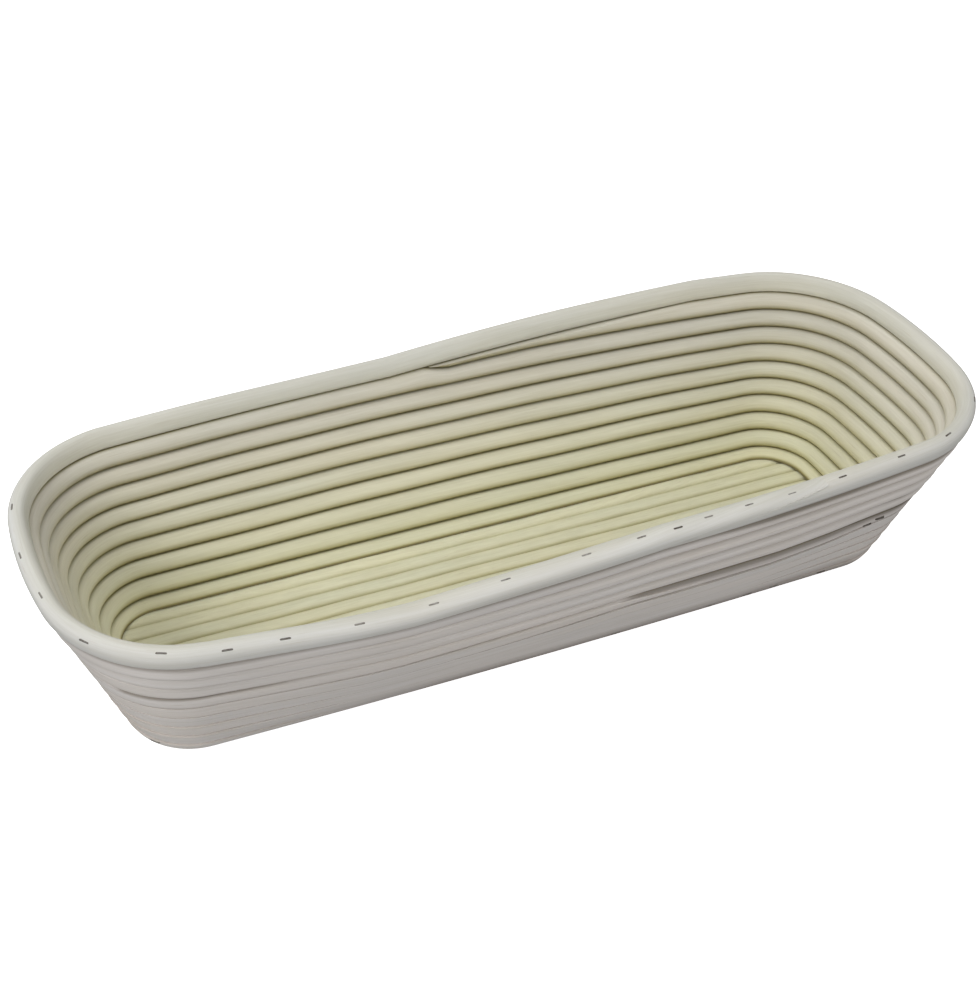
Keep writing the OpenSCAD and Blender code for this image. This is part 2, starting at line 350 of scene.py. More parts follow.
def swept_mesh(name, points, turn, groove, inside):
    """Closed tube through rings of points, with the values that the finish reads."""
    quads, caps = tube_faces(*points.shape[:2])
    mesh = bpy.data.meshes.new(name)
    mesh.from_pydata(points.reshape(-1, 3).tolist(), [], quads.tolist() + [cap.tolist() for cap in caps])
    girth = np.linalg.norm(np.roll(points, -1, 1) - points, axis=2)
    around = np.cumsum(girth, axis=1) - girth
    along = np.broadcast_to(path_length(points)[:, None], around.shape)
    turns = np.broadcast_to(turn[:, None], around.shape)
    store(mesh, "run", "FLOAT_VECTOR", np.stack([along, around, turns], axis=-1))
    store(mesh, "groove", "FLOAT", np.broadcast_to(groove, around.shape))
    store(mesh, "inside", "FLOAT", np.broadcast_to(inside, around.shape))
    mesh.polygons.foreach_set("use_smooth", [True] * len(quads) + [False] * len(caps))
    mesh.update()
    mesh.set_sharp_from_angle(angle=sharp_angle)
    return link_piece(name, mesh)


print("sections are swept with", turn_steps, "rings in a turn")

# %% [markdown]
# ## How the outside was sanded
# Inside the basket the canes stay round. Outside they were sanded: the left of the front and the
# lower courses almost flat, while the upper right still shows rounded ripples. The front corners
# were sanded in by two millimetres. One exponent for each place gives the ripples, and one depth the
# corners.

# %% Sanding
inner_power = 0.95
flat_power = 0.03
left_power, right_power, back_power = 0.32, 0.9, 0.5
ripple_from_x, ripple_full_x = -0.6, 0.2
flat_below, ripple_above = 4.9, 6.3
corner_flat_left, corner_flat_right = 2.2 * MM, 2.3 * MM
corner_flat_from_x = 0.6


def rippled(level):
    """Share of the ripples that sanding left, by the height in courses."""
    return ramp(level, flat_below, ripple_above)


def by_place(places, level, front, back, flat):
    """Value that goes from the front's to the back's, and to the flat one on the lower courses."""
    to_back = (places[:, 1] + 1) / 2
    value = front * (1 - to_back) + back * to_back
    return flat + (value - flat) * rippled(level)


def outer_power(places, level):
    """Exponent of a section's outer half."""
    front = left_power + (right_power - left_power) * ramp(places[:, 0], ripple_from_x, ripple_full_x)
    return by_place(places, level, front, back_power, flat_power)


def corner_flat(places, level):
    """How far the wall was sanded in at the front corners, most at half its height."""
    on_front = ramp(np.abs(places[:, 0]), corner_flat_from_x, 1)
    corner = np.where(places[:, 1] <= -1, on_front, ramp(places[:, 1], 1, -1))
    depth = np.where(places[:, 0] < 0, corner_flat_left, corner_flat_right)
    return depth * corner * np.sin(math.pi * ramp(level, 1, courses + 1))


front_ends = turn_places[[0, side_steps]]
print("outer exponent, left and right:", outer_power(front_ends, np.full(2, courses)))

# %% [markdown]
# ## Grooves that stayed open
# Most outer grooves closed up with dust, and two stretches stayed open and dark. One runs along the
# front right from the tip of the second cane, and one goes round the left front corner. A groove is
# known by how far along the coil the cane below it is, in turns, so the canes on both sides of it can
# ask the same question.

# %% Open grooves
splice_turn = 5
open_corner_turn = courses - 3
open_tip_x, open_left_x = 0.08, -0.42
open_left_corner = 0.7
open_fade = 0.012
corner_fade = 0.08


def front_share(x):
    """Share of a turn that is passed at a place on the front."""
    return (x + 1) / 2 * side_steps / turn_steps


def between(value, start, stop, fade_out):
    return ramp(value, start, start + open_fade) * ramp(value, stop, stop - fade_out)


def wedge_groove(seam):
    """Where the groove above the second cane's tip stayed open, by the turn of the cane below it."""
    tip, corner = front_share(open_tip_x), (side_steps + corner_steps) / turn_steps
    return between(seam, splice_turn + tip, splice_turn + corner, open_fade)


def corner_groove(seam):
    """Where the groove round the left front corner stayed open."""
    start = open_corner_turn - open_left_corner * corner_steps / turn_steps
    return between(seam, start, open_corner_turn + front_share(open_left_x), corner_fade)


print("the groove from the tip opens", round(front_share(open_tip_x), 3), "turns past the left end")

# %% [markdown]
# ## How dark the seams are
# Little light gets into a seam, and old flour stays there. Both are painted as one darkness on the
# mesh's points, from 0 to 1, because thin lines then stay crisp at every size. Outside, sanded seams
# are faint, the line under the rim gets stronger towards the right, and the foot is shaded by the
# table. Inside, seams are darker along the sides than at the ends.

# %% Darkness of the seams
# Painted shade on the sanded seams, which also darkens their thin rounded edges that catch the light
flat_dark = 0.6
seam_left_dark, seam_right_more, seam_back_dark = 0.3, 0.3, 0.4
seam_from_x, seam_full_x = -0.4, 0.4
foot_dark = 0.66
foot_shade_top, foot_shade_full = 14 * MM, 5 * MM
foot_from_x, foot_full_x = -1, -0.3
end_less_right, end_less_left = 0.45, 0.3
# Painted shade in the line under the rim, broader beside its joint
rim_line_left, rim_line_more, rim_line_joint = 0.6, 0.15, 0.1
rim_line_from_x, rim_line_full_x = -0.6, 0.3
joint_line_x, joint_line_fades = (0.28, 0.5), 0.45
joint_line_end_x = (0.72, 0.95)


def outer_dark(places, level):
    """Darkness of the sanded outer grooves."""
    front = seam_left_dark + seam_right_more * ramp(places[:, 0], seam_from_x, seam_full_x)
    return by_place(places, level, front, seam_back_dark, flat_dark)


def foot_shade(places, z):
    """Darkness of the sides near the table, least on the left."""
    here = ramp(places[:, 0], foot_from_x, foot_full_x) * (1 - places[:, 2])
    return foot_dark * here[:, None] * ramp(z, foot_shade_top, foot_shade_full)


def inner_dark(places):
    """Darkness of the grooves inside, which is less at the ends than along the sides."""
    at_end = np.where(np.abs(places[:, 1]) == 1, places[:, 2], 1)
    return 1 - at_end * np.where(places[:, 0] > 0, end_less_right, end_less_left)


def joint_line(places):
    """Share of the broader painted shadow under the rim, from the middle of its joint to the right."""
    return ramp(places[:, 0], *joint_line_x) - joint_line_fades * ramp(places[:, 0], *joint_line_end_x)


def rim_line(places):
    """Darkness of the painted shade line between the wall and the rim, stronger on the right."""
    right = ramp(places[:, 0], rim_line_from_x, rim_line_full_x)
    return rim_line_left + rim_line_more * right + rim_line_joint * joint_line(places)


print("line under the rim, left and right:", rim_line(front_ends))

# %% [markdown]
# ## Edges of the courses
# The real coil is two lengths of cane on top of the base ring. The first starts as a long wedge on
# the ring and ends in a slanted cut on the front wall, where the second begins. The second tapers
# out under the rim on the back wall. Canes were pressed aside near the last tip and beside the open
# groove, so the edges of the courses give way there.

# %% Edges and cuts
joint_from, joint_to = 0, 2 / 3
contact_gap = 0.05 * MM
half_gap = contact_gap / pitch / 2
last_tip_x = -0.06
tip_rise = float(ramp(last_tip_x, wedge_tip, wedge_full))
# Places along the back, and by how many courses the edge lies higher there
tip_press_x = (wedge_tip, last_tip_x, 0.015, 0.12, 0.3)
tip_press_up = (0, tip_rise, -0.14, -0.07, 0)
# Places along the front, and by how many courses the edges beside the open groove lie higher there
groove_press_x = (0.1, 0.45, 0.8, 1)
groove_press_up = (0, -0.2, -0.3, 0)


def tip_press(steps, lap):
    """How the edge above a lap gives way at the tip of the last wedge, on the back."""
    step = steps % turn_steps
    on_back = (steps // turn_steps == lap) & (step >= back_start) & (step < back_start + side_steps)
    return np.where(on_back, np.interp(turn_places[step, 0], tip_press_x, tip_press_up), 0)


def groove_press(steps, laps):
    """How much lower the edges beside the open groove lie on the right of the front."""
    step = steps % turn_steps
    on_front = np.isin(steps // turn_steps, laps) & (step < side_steps)
    return np.where(on_front, np.interp(turn_places[step, 0], groove_press_x, groove_press_up), 0)


def course_edges(steps):
    """Lower and upper edge of the whole course at each step, before its ends are shaved."""
    lap = steps // turn_steps
    level = lap + coil_climb(steps)
    along = steps / turn_steps
    wave_below = waves(along - 1, edge_wave, seed=1) * ramp(level, courses + 0.5, courses - 0.5)
    wave_above = waves(along, edge_wave, seed=1) * ramp(level, courses - 0.5, courses - 1.5)
    lower = level - 0.5 + wave_below * (lap > 1) + tip_press(steps, courses)
    upper = level + 0.5 + wave_above + tip_press(steps, courses - 1)
    lower = lower + groove_press(steps, (splice_turn, splice_turn + 1))
    upper = upper + groove_press(steps, (splice_turn - 1, splice_turn))
    return lower, upper


def splice_line(steps):
    """Height of the slanted cut between the two lengths, above every other course."""
    lower, upper = course_edges(steps)
    x = turn_places[steps % turn_steps, 0]
    in_cut = (steps // turn_steps == splice_turn) & (steps % turn_steps < side_steps)
    return np.where(in_cut, upper - ramp(x, joint_from, joint_to) * (upper - lower), upper), in_cut


print("cut between the two lengths:", step_on_front(0, joint_to) - step_on_front(0, joint_from), "steps long")

# %% [markdown]
# ## Face of the wall cane
# A point's distance from the wall's middle line follows from the section, less the depth of an open
# groove, the slow waves and the sanding at the corners. The sanding stops before it would reach the
# staples inside the wall. The darkness of the same points comes from the seams beside them.

# %% Face and seams of the wall cane
cane_inner = 4.2 * MM
cane_outer = 3.3 * MM
groove_depth = 0.6 * MM
corner_shallow, corner_shallow_at = 0.8, (0, 0.3)
# Share for the open groove round the left front corner, in its depth and its painted shade
corner_dark = 0.75
staple_cover = 0.8 * MM
sanded_across = (0, 0.5)
# Heights on a section, as shares of its half height, between which a darkness fades in
open_edge_above, open_edge_below, open_face = (0.45, 0.85), (0.7, 0.95), (-0.4, 0.6)
flat_seam_from, ripple_seam_more = 0.97, 0.62
under_rim_at, line_broadening = (0.3, 0.75), 0.2
under_from, under_power = 0.1, 1.6
over_from, over_power, over_dark = 0.86, 2, 0.9
# Courses below the wall's top between which the line under the rim fades in
top_course = (0.5, 0.1)


def open_grooves(along, c, s, whole, wedge):
    """Share of an open groove at each point of the outer face, for its depth and its painted shade."""
    seam = along[:, None] - (s < 0)
    edge = np.where(s > 0, ramp(whole, *open_edge_above), ramp(whole, *open_edge_below))
    opened = np.maximum(wedge_groove(seam), corner_dark * corner_groove(seam)) * edge
    # Painted shade on the second length's tip, deepest at its top edge
    face = wedge * wedge_groove(along)[:, None] * ramp(np.sign(s) * whole, *open_face)
    return np.maximum(opened, face) * (c > 0)


def cane_face(places, along, level, c, across, opened):
    """Distance of each point from the wall's middle line, after winding and sanding."""
    deep = groove_depth * (1 - corner_shallow * ramp(places[:, 2], *corner_shallow_at))[:, None]
    loose = np.where(c < 0, 1, rippled(level)[:, None])
    n = across * np.where(c < 0, cane_inner, cane_outer) - deep * opened
    n = n + waves(along, lie_wave, seed=2)[:, None] * loose
    sanded = n - corner_flat(places, level)[:, None] * ramp(across, *sanded_across)
    return np.where(c > 0, np.maximum(sanded, np.minimum(n, staple_cover)), n)


def outer_seams(places, level, s, whole, z):
    """Darkness outside: the sanded seams, the line under the rim and the foot."""
    seam_from = flat_seam_from - ripple_seam_more * rippled(level)
    soft = outer_dark(places, level)[:, None] * ramp(whole, seam_from[:, None], 1)
    top = courses + top_rise(places)
    at_top = ramp(level, top - top_course[0], top - top_course[1])
    below_rim = (s > 0) * at_top[:, None] * rim_line(places)[:, None]
    broader = line_broadening * joint_line(places)[:, None]
    soft = np.maximum(soft, below_rim * ramp(whole + broader, *under_rim_at))
    return np.maximum(soft, foot_shade(places, z))


def inner_seams(places, s, whole):
    """Darkness inside: a deep shade on the lower half of each course and a thin line on the upper."""
    under = ramp(whole, under_from, 1) ** under_power
    over = over_dark * ramp(whole, over_from, 1) ** over_power
    return np.where(s < 0, under, over) * inner_dark(places)[:, None]


print("wall cane is", round((cane_inner + cane_outer) / MM, 1), "mm thick")

# %% [markdown]
# ## Winding the coil
# Every section starts out whole and is then cut off at the lines where the real cane was shaved, so
# the shaved ends keep the round face of the cane. The tip of the second length gets painted shade,
# darkest just under the open groove above it.

# %% Wind the two coil lengths
ring_top = 1.5
section_points = 40
# Painted shade on the tip of the second length, under the open groove
wedge_shade = 0.75
# Steps left out at the first wedge's tip, where it would have no height
thin_steps = 2


def wind(name, steps, cut_low, cut_high, wedge):
    """One length of wall cane, cut off below and above; wedge is how much painted shade its tip gets."""
    c, s = section(section_points, math.pi / 2)
    places = turn_places[steps % turn_steps]
    along = steps / turn_steps
    lower, upper = course_edges(steps)
    level = (lower + upper) / 2
    half = (upper - lower) / 2 - half_gap
    low, high = ((cut - level) / half for cut in (cut_low, cut_high))
    power = np.where(c < 0, inner_power, outer_power(places, level)[:, None])
    c, s = spread_out(c, s, power)
    across, up = shaved(c, s, power, np.minimum(low, high)[:, None], high[:, None])
    whole = np.abs(squared(s, power))
    opened = open_grooves(along, c, s, whole, wedge)
    n = cane_face(places, along, level, c, across, opened)
    points = wall_points(places, level[:, None] + up * half[:, None], n)
    outer = np.maximum(outer_seams(places, level, s, whole, points[:, :, 2]), opened)
    groove = np.where(c < 0, inner_seams(places, s, whole), outer)
    piece = swept_mesh(name, points, along, groove, np.clip(0.5 - across / 2, 0, 1))
    print(name, "length", round(float(path_length(points)[-1]), 2), "m")
    return piece


lower_steps = np.arange(step_on_front(1, climb_from) + thin_steps, step_on_front(splice_turn, joint_to))
line, in_cut = splice_line(lower_steps)
on_ring = np.full(len(line), ring_top + half_gap)
lower_coil = wind("lower_coil_cane", lower_steps, on_ring, line - half_gap, 0)
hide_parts("lower_coil")

upper_steps = np.arange(step_on_front(splice_turn, joint_from) + 1, step_on_back(courses, last_tip_x))
line, in_cut = splice_line(upper_steps)
on_cut = np.where(in_cut, line + half_gap, 0)
under_rim = rim_foot + top_rise(turn_places[upper_steps % turn_steps]) - half_gap
upper_coil = wind("upper_coil_cane", upper_steps, on_cut, under_rim, wedge_shade)
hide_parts("upper_coil")

# %% [markdown]
# ## The rim
# The rim is a thicker, rounder cane laid on the wall's top edge. It runs once round, follows the
# climb on the front and comes down over the last wedge of the coil at the back. Its ends overlap in
# a slanted cut at the front right. On the left of the front it was pressed outwards a little, and on
# the left of the back it sags, so two smooth bumps are added to its path.

# %% Path of the rim
rim_first = step_on_front(0, joint_from) + 1
rim_last = turn_steps + step_on_front(0, joint_to)
push_x, push_width = -0.6, 0.28
push_out = 1.1 * MM
push_down = 0.11
sag_x, sag_width = -0.35, 0.45
sag_down = 0.16
drop_from, drop_full = -1, 0.2


def bump(places, y, x, width):
    """Smooth bump along the front (y = -1) or the back (y = 1)."""
    here = (places[:, 1] * y >= 1) & (places[:, 2] == 0)
    return np.where(here, np.exp(-((places[:, 0] - x) / width) ** 2), 0)[:, None]


print("rim runs from step", rim_first, "to", rim_last)

# %% Bend the rim cane
rim_thickness = 7.2 * MM
rim_outset = 0.2 * MM
rim_points = 40
rim_power = 0.84
rim_toe_power = 0.6
rim_swell = 0.02
rim_lie = 0.25 * MM
# Painted shade where the rim meets the wall, on its inner face and its lower outer face
rim_line_inside, rim_line_outside = (0.8, 1), (0.55, 0.92)
rim_inner_dark, rim_outer_less = 0.9, 0.05
# Numbers of turns that set the grain of each cane apart from the coil's
rim_grain, ring_grain, floor_grain = 20, 40, 60


def rim_loose(steps):
    """Share of the cane's own unevenness, which fades out beside the joint."""
    joint_end, joint_start = step_on_front(0, joint_to), turn_steps + step_on_front(0, joint_from)
    fade = side_steps / 4
    return ramp(steps, joint_end, joint_end + fade) * ramp(steps, joint_start, joint_start - fade)


def rim_seams(places, c, up):
    """Painted shade where the rim meets the wall, inside and outside."""
    broader = line_broadening * joint_line(places)[:, None]
    outside = ramp(broader - up, *rim_line_outside) * (rim_line(places) - rim_outer_less)[:, None]
    return np.where(c < 0, rim_inner_dark * ramp(-up, *rim_line_inside) ** 2, outside)


def rim_grid():
    """Rings of points along the rim, with its turns, its darkness and whether it faces inwards."""
    steps = np.arange(rim_first, rim_last)
    places = turn_places[steps % turn_steps]
    c, s = section(rim_points, -math.pi / 2)
    along = steps / turn_steps
    line = 2 * ramp(places[:, 0], joint_from, joint_to) - 1
    starting = steps < step_on_front(0, joint_to)
    ending = steps >= turn_steps + step_on_front(0, joint_from)
    low, high = np.where(ending, line + half_gap, -1), np.where(starting, line - half_gap, 1)
    power = np.where((c > 0) & (s < 0), rim_toe_power, rim_power)
    across, up = shaved(c, s, power, low[:, None], high[:, None])
    push, sag = bump(places, -1, push_x, push_width), bump(places, 1, sag_x, sag_width)
    loose = rim_loose(steps)
    half_thick = rim_thickness / 2 * (1 + loose * waves(along, rim_swell, seed=6))[:, None]
    lie = (rim_outset + loose * waves(along, rim_lie, seed=5))[:, None]
    n = across * half_thick + lie + push_out * push
    drop = (push_down * push + sag_down * sag) * ramp(up, drop_from, drop_full)
    level = (rim_foot + top_rise(places) + rim_span / 2)[:, None]
    points = wall_points(places, level + up * (rim_span / 2 - half_gap) - drop, n)
    return points, along, rim_seams(places, c, up), np.clip(0.5 - c / 2, 0, 1)


rim_rings, rim_along, rim_groove, rim_inside = rim_grid()
rim_cane = swept_mesh("rim_cane_bent", rim_rings, rim_along + rim_grain, rim_groove, rim_inside)
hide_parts("rim_cane")
print("rim faces:", len(rim_cane.data.polygons))

# %% [markdown]
# ## The base ring
# The lowest course is a cane bent round the floor, with its ends pressed together at the back. It
# has the section of the other courses, held back by three limits: the table below it, the edge of
# the floor inside it, and the bevel that was sanded on its outer foot.

# %% Bend the base ring
ring_inner = 1.9 * MM
ring_edge = 4.2 * MM
ring_toe = 2.8 * MM
bevel_height = 3.2 * MM
bevel_width = 4.3 * MM
bevel_power = 0.9
no_limit = 1000 * MM
# Painted shade in the seam above the ring and on its inner side under the overhang
ring_seam_dark, ring_seam_at = 0.8, (0.88, 1)
ring_foot_dark, ring_foot_at = 0.9, (0.2, -0.3)


def ring_grid():
    """Rings of points along the base ring, with its turns, its darkness and whether it faces inwards."""
    steps = np.arange(turn_steps + 1) + step_on_back(0, 0)
    places = turn_places[steps % turn_steps]
    c, s = section(section_points, math.pi / 2)
    power = np.where(c < 0, inner_power, flat_power)
    c, s = spread_out(c, s, power)
    up = squared(s, power)
    u = np.broadcast_to(1 + up * (0.5 - half_gap), (len(places), section_points))
    n = squared(c, power) * np.where(c < 0, cane_inner, cane_outer)
    z = np.maximum(rise(u) - n * np.sin(lean(u)), 0)
    out = reach(u) + n * np.cos(lean(u))
    bevel = ring_toe + bevel_width * (z / bevel_height) ** bevel_power
    out = np.minimum(out, np.where(z < bevel_height, bevel, no_limit))
    out = np.maximum(out, np.where(z < ring_edge, ring_inner, -no_limit))
    seam = ring_seam_dark * ramp(up, *ring_seam_at) ** 2
    inner = np.maximum(seam, ring_foot_dark * ramp(up, *ring_foot_at) ** 2)
    outer = np.maximum(flat_dark * ramp(up, flat_seam_from, 1), foot_shade(places, z))
    inside = np.clip(0.5 - n / (2 * cane_inner), 0, 1)
    return plan_points(places, out, z), steps / turn_steps, np.where(c < 0, inner, outer), inside


ring_rings, ring_along, ring_groove, ring_inside = ring_grid()
base_ring = swept_mesh("base_ring_cane", ring_rings, ring_along + ring_grain, ring_groove, ring_inside)
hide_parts("base_ring")
print("ring box:", [round(v / MM, 1) for v in base_ring.dimensions])

# %% [markdown]
# ## The floor
# The floor canes are straight, laid side by side and sanded flat below. Their tops are worn almost
# flat too. Each end is cut to the rounded outline inside the base ring, so every line of points
# along a cane has its own end. All canes sway together, which leaves no gaps between them.

# %% Shape and seams of the floor
floor_canes = 10
floor_pitch = 7.7 * MM
floor_gap = 0.3 * MM
# Painted shade beside each cane, along the wall's foot and at the cut ends
usual_seam_dark, seam_dark = 0.52, {9: 0.4, 10: 0.25}
seam_at, seam_power = (0.5, 1), 1.5
wall_foot_dark, wall_foot_at = 0.8, (0.2 * MM, 1.4 * MM)
cut_end_dark, cut_end_at = 0.7, (1.6 * MM, 0.3 * MM)


def floor_end(y):
    """Distance from the middle to the floor's rounded outline, at a distance y from its long axis."""
    radius = foot_radius + ring_inner - floor_gap
    past = np.clip(np.abs(y) - straight_y, 0, radius)
    return straight_x + np.sqrt(radius ** 2 - past ** 2)


def floor_seams(number, side, middle_y, to_end):
    """Painted shade beside the next cane, along the wall's foot and at the cut ends."""
    strength = seam_dark.get(number, usual_seam_dark)
    seam = strength * ramp(np.abs(side) * 2 / floor_pitch, *seam_at) ** seam_power
    wall_foot = straight_y + foot_radius
    at_wall = ramp(np.abs(middle_y + side), wall_foot + wall_foot_at[0], wall_foot + wall_foot_at[1])
    at_end = ramp(to_end, *cut_end_at)
    return np.maximum(np.maximum(seam, wall_foot_dark * at_wall), cut_end_dark * at_end)


print("floor is", round(2 * float(floor_end(0)) / MM, 1), "mm long")

# %% Lay the floor canes
floor_height = 4.5 * MM
floor_crown = 2.1 * MM
edge_cane_length = 313 * MM
floor_steps = 110
floor_points = 28
floor_power, foot_power, foot_round = 0.75, 0.3, 0.5
end_crowding = 0.7
half_turn = 0.5
grain_shift = 3.7
floor_sway, sway_stop = 0.25 * MM, 8
crown_wave = 0.12
end_crown, end_crown_from = 0.35, 0.985


def lay_floor_cane(number):
    """One straight cane, counted from the front."""
    c, s = section(floor_points, -math.pi / 2)
    side = squared(c, np.where(s > 0, floor_power, foot_power)) * (floor_pitch - contact_gap) / 2
    share = squared(np.linspace(-1, 1, floor_steps), end_crowding)
    along = share * half_turn + number * grain_shift
    middle_y = (number - (floor_canes + 1) / 2) * floor_pitch
    sway = waves(share * half_turn, floor_sway, seed=1) * (1 - share ** sway_stop)
    end = floor_end(middle_y + side)
    if number in (1, floor_canes):
        end = np.minimum(end, edge_cane_length / 2)
    rounding = np.sqrt(ramp(np.abs(share), 1, end_crown_from))
    crown = floor_crown * (1 + waves(along, crown_wave, seed=number + 3))
    crown = crown * (end_crown + (1 - end_crown) * rounding)
    shoulder = floor_height - floor_crown
    top = shoulder + squared(np.maximum(s, 0), floor_power) * crown[:, None]
    z = np.where(s > 0, top, shoulder * (1 - np.abs(s) ** foot_round))
    points = np.stack([share[:, None] * end, middle_y + side + sway[:, None], z], axis=-1) - middle
    groove = floor_seams(number, side, middle_y, end[None, :] * (1 - np.abs(share))[:, None])
    return swept_mesh(f"floor_cane_{number}_laid", points, along + floor_grain, groove, np.ones(floor_points))


floor_pieces = [lay_floor_cane(number) for number in range(1, floor_canes + 1)]
for number, piece in enumerate(floor_pieces, 1):
    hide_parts(f"floor_cane_{number}")
print("floor canes:", len(floor_pieces))

# %% [markdown]
# ## Finding a seat for a staple
# A staple sits on the surface of a cane. Its seat is looked up in the grid of points that the cane
# was swept from: the ring by its place round the basket, the point by its angle on the section.
# Neighbouring points give the directions along the cane and out of its surface.

# %% Seats on a swept cane
def turn_step(x, y, corner):
    """Step of a turn, with fractions, of a place round the basket."""
    front, right = y < 0, x > 0
    left_corner = back_start + side_steps
    past = corner * corner_steps
    if corner == 0:
        return (x + 1) / 2 * side_steps if front else back_start + (1 - x) / 2 * side_steps
    if corner == 1 and right:
        return side_steps + corner_steps + (y + 1) / 2 * end_steps
    if corner == 1:
        return left_corner + corner_steps + (1 - y) / 2 * end_steps
    if right:
        return side_steps + past if front else back_start - past
    return turn_steps - past if front else left_corner + past


def seat(rings, ring, point, sink):
    """Point a little under a cane's surface, with the directions along the cane and outwards."""
    first = int(ring)
    share = ring - first
    here = rings[first] * (1 - share) + rings[first + 1] * share
    count = len(here)
    along = rings[first + 1, point] - rings[first, point]
    around = here[(point + 1) % count] - here[(point - 1) % count]
    along = along / np.linalg.norm(along)
    out = np.cross(around, along)
    out = out / np.linalg.norm(out)
    if out @ (here[point] - here.mean(axis=0)) < 0:
        out = -out
    return here[point] - sink * out, along, out


print("a turn starts at step", turn_step(-1, -1, 0), "and passes the back at", turn_step(0, 1, 0))

# %% [markdown]
# ## Bending a staple
# Each staple is one wire bent twice, with a crown that shows as a short dash and two legs driven
# into the cane. The wire is swept along that bent line, and all staples of one kind share a mesh.
# How much darker each end is and how dark each staple has turned are stored for the finish.

# %% Bend staples
crown_length = 5 * MM
wire_thickness = 0.9 * MM
wire_bend = 0.7 * MM
bend_points = 5
wire_sides = 8
end_dark_from, end_dark_full = 0.2 * crown_length, 0.42 * crown_length


def wire_line(leg):
    """Middle line of a staple's wire, as (along the cane, out of it)."""
    half = crown_length / 2 - wire_thickness / 2
    turned = np.linspace(0, math.pi / 2, bend_points)
    bend = [half - wire_bend + wire_bend * np.sin(turned), wire_bend * (np.cos(turned) - 1)]
    right = np.concatenate([np.stack(bend, axis=1), [[half, -leg]]])
    return np.concatenate([right[::-1] * [-1, 1], right])


def bend_staples(name, seats, leg, tints):
    """Staples driven in at seats of (point, along, out), joined in one mesh."""
    line = wire_line(leg)
    tangent = np.gradient(line, axis=0)
    tangent /= np.linalg.norm(tangent, axis=1)[:, None]
    c, s = (wire_thickness / 2 * v[:, None] for v in section(wire_sides, 0))
    quads, caps = tube_faces(len(line), wire_sides)
    count = len(line) * wire_sides
    points, faces = [], []
    for number, (at, along, out) in enumerate(seats):
        across = np.cross(out, along)
        middles = at + line[:, :1] * along + line[:, 1:] * out
        normal = -tangent[:, 1:] * along + tangent[:, :1] * out
        rings = middles[:, None] + c * normal[:, None] + s * across
        points.append(rings.reshape(-1, 3))
        first = number * count
        faces += (quads + first).tolist() + [(cap + first).tolist() for cap in caps]
    mesh = bpy.data.meshes.new(name)
    mesh.from_pydata(np.concatenate(points).tolist(), [], faces)
    end_darkness = np.repeat(ramp(np.abs(line[:, 0]), end_dark_from, end_dark_full), wire_sides)
    store(mesh, "end_darkness", "FLOAT", np.tile(end_darkness, len(seats)))
    store(mesh, "tint", "FLOAT", np.repeat(tints, count))
    mesh.polygons.foreach_set("use_smooth", [True] * len(faces))
    mesh.update()
    return link_piece(name, mesh)


print("points in a staple:", len(wire_line(crown_length)) * wire_sides)

# %% [markdown]
# ## Staples in the rim
# Along the front the crowns lie on top of the rim, closer together where its ends overlap. At the
# left end and on the back they were driven from the outside and sit on its outer shoulder. Their
# places were read off the photograph, and those on the hidden sides follow the same spacing.
# All legs aim at the top of the course below, so none comes out of the cane.

# %% Rim staples
leg_length = 11 * MM
crown_proud = 0.2 * MM
crown_sink = wire_thickness / 2 - crown_proud
leg_aim = 0.6
back_places_mm = range(-125, 126, 25)
# Places as (x in mm, degrees from the rim's top towards the outside, darkness)
rim_front = [
    (-134, 38, 0.75), (-115, 30, 0.8), (-90, 18, 0.3), (-64, 6, 0.3), (-38, -2, 0.55), (-8, -2, 0.3),
    (13, 2, 0.5), (27, 6, 1.0), (40, -2, 0.25), (57, -2, 0.45), (75, 6, 0.5), (98, 10, 0.8), (126, 6, 0.8),
]
rim_back = [(x, 50, 0.45) for x in back_places_mm]
# Places as (x, y, corner, degrees, darkness)
rim_left_end = [
    (-1, -1, 0.225, 22, 0.75), (-1, -1, 0.625, 46, 0.7), (-1, -0.9, 1, 10, 0.3), (-1, 0.1, 1, 18, 0.4),
    (-1, 1, 0.9, 6, 0.5), (-1, 1, 0.3, 50, 0.5),
]
rim_right_end = [
    (1, -1, 0.167, 2, 0.75), (1, -1, 0.617, 26, 0.6), (1, -0.9, 1, 50, 0.5), (1, 0, 1, 50, 0.4),
    (1, 0.9, 1, 50, 0.6), (1, 1, 0.6, 50, 0.5), (1, 1, 0.2, 50, 0.5),
]


def side_place(x_mm, y):
    """Place on the front (y = -1) or the back (y = 1), from a distance in millimetres."""
    return x_mm * MM / straight_x, y, 0


def rim_seat(x, y, corner, degrees):
    step = turn_step(x, y, corner)
    if step < rim_first or (y <= -1 and corner == 0 and x < joint_to):
        step += turn_steps
    point = round((180 - degrees) / 360 * rim_points)
    at, along, out = seat(rim_rings, step - rim_first, point, crown_sink)
    ring = rim_rings[int(step - rim_first)]
    up = ring[rim_points // 2] - ring[0]
    drive = at - (ring.mean(axis=0) - leg_aim * up)
    return at, along, drive / np.linalg.norm(drive)


rim_places = [(*side_place(x, -1), degrees, tint) for x, degrees, tint in rim_front]
rim_places += rim_left_end + rim_right_end
rim_places += [(*side_place(x, 1), degrees, tint) for x, degrees, tint in rim_back]
rim_seats = [rim_seat(*place[:4]) for place in rim_places]
rim_staples = bend_staples("rim_staple_wires", rim_seats, leg_length, [place[4] for place in rim_places])
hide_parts("rim_staples")
print("staples in the rim:", len(rim_places))

# %% [markdown]
# ## Staples in the base
# Low on the outside, staples hold the base ring to the floor. Most of those that show are on the
# right half of the front. They are driven straight into the sanded face, with their crowns half sunk.

